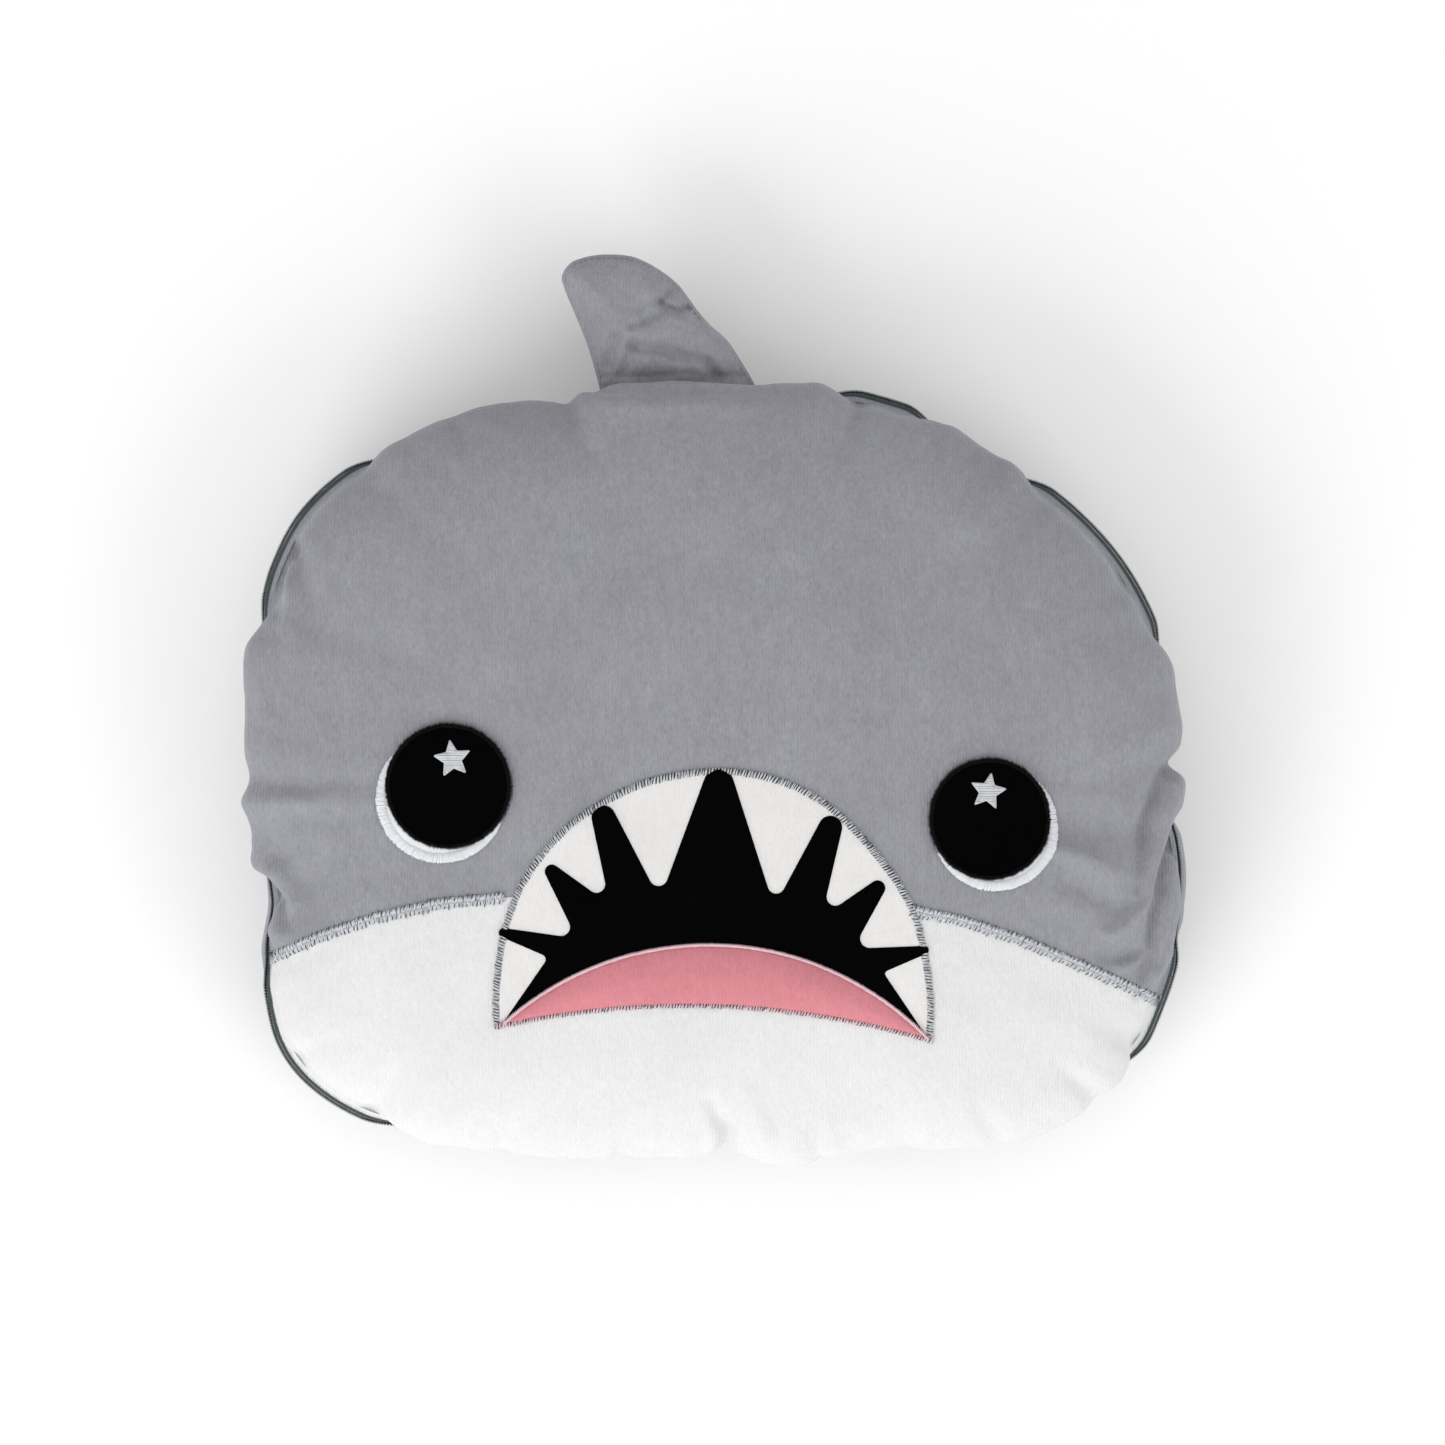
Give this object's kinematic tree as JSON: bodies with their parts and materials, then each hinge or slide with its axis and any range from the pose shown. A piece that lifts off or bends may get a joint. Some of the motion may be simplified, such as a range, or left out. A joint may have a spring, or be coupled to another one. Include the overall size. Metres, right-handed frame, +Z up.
{
  "type": "plush shark cushion",
  "caption": "Stuffed shark-head cushion with a zipped plush cover that opens at the chin, an inner pillow, a floppy fin and a zip slider with pull tab.",
  "frame": {"origin": "centre of the flat patch of the back cover that rests on the floor", "axes": "+Z up out of the face, away from the floor; +Y from the chin to the dorsal fin; +X to the right of the face as seen from above with the fin pointing away"},
  "size_m": [0.4014, 0.3813, 0.1014],
  "materials": {
    "grey_plush": "short cut-pile knit, grey with a slight blue cast",
    "white_plush": "short cut-pile knit, white",
    "tooth_white": "smooth white knit",
    "mouth_black": "black short-pile fabric",
    "tongue_pink": "pink short-pile fabric, lighter along its lower edge",
    "eye_thread": "black satin stitch",
    "silver_thread": "silver-grey embroidery thread, zigzag stitched",
    "eye_white_fabric": "white satin embroidery",
    "eye_black": "black short-pile fabric",
    "lining_cloth": "thin white woven lining",
    "cushion_cloth": "white non-woven cloth",
    "fibre": "loose white polyester fibre",
    "zip_tape": "woven grey polyester tape",
    "zip_nylon": "dark grey-green nylon coil",
    "zip_metal": "dark grey enamelled zinc"
  },
  "bodies": {
    "back_cover": {"back_panel": "grey_plush", "back_lining": "lining_cloth", "zip_tape_back": "zip_tape", "zip_coil_back": "zip_nylon", "zip_end_left_front": "zip_nylon", "zip_end_left_back": "zip_nylon", "zip_end_right_front": "zip_nylon", "zip_end_right_back": "zip_nylon", "zip_top_stop_front": "zip_metal", "zip_top_stop_back": "zip_metal", "zip_bottom_stop": "zip_metal", "hinge_strip": "grey_plush", "cushion_front_cloth": "cushion_cloth", "cushion_back_cloth": "cushion_cloth", "fibre_filling": "fibre"},
    "front_cover": {"face_panel": "grey_plush", "muzzle_panel": "white_plush", "front_lining": "lining_cloth", "tooth_panel": "tooth_white", "dark_mouth": "mouth_black", "tongue": "tongue_pink", "tongue_border_stitch": "silver_thread", "mouth_border_stitch": "silver_thread", "left_muzzle_border_stitch": "silver_thread", "right_muzzle_border_stitch": "silver_thread", "left_eye_white": "eye_white_fabric", "left_eye_pupil": "eye_black", "left_eye_border_stitch": "eye_thread", "left_eye_star": "silver_thread", "right_eye_white": "eye_white_fabric", "right_eye_pupil": "eye_black", "right_eye_border_stitch": "eye_thread", "right_eye_star": "silver_thread", "zip_tape_front": "zip_tape", "zip_coil_front": "zip_nylon"},
    "fin": {"fin_front_panel": "grey_plush", "fin_back_panel": "grey_plush", "fin_filling": "fibre"},
    "zip_slider": {"slider_body": "zip_metal"},
    "pull_tab": {"pull_tab": "zip_metal"}
  },
  "joints": [
    {"name": "cover_open", "type": "hinge", "parent": "back_cover", "child": "front_cover", "pos_m": [0, -0.15683, 0.047], "axis": [1, 0, 0], "range_deg": [0, 135]},
    {"name": "zip_slide", "type": "slide", "parent": "back_cover", "child": "zip_slider", "axis": [-1, 0, 0], "range_m": [0, 0.027]},
    {"name": "tab_swing", "type": "hinge", "parent": "zip_slider", "child": "pull_tab", "pos_m": [-0.05232, -0.15863, 0.047], "axis": [0, 0, 1], "range_deg": [0, 180]},
    {"name": "fin_flop", "type": "hinge", "parent": "front_cover", "child": "fin", "pos_m": [0, 0.16611, 0.0527], "axis": [1, 0, 0], "range_deg": [-60, 60], "stiffness_Nm_per_rad": 0.05}
  ]
}
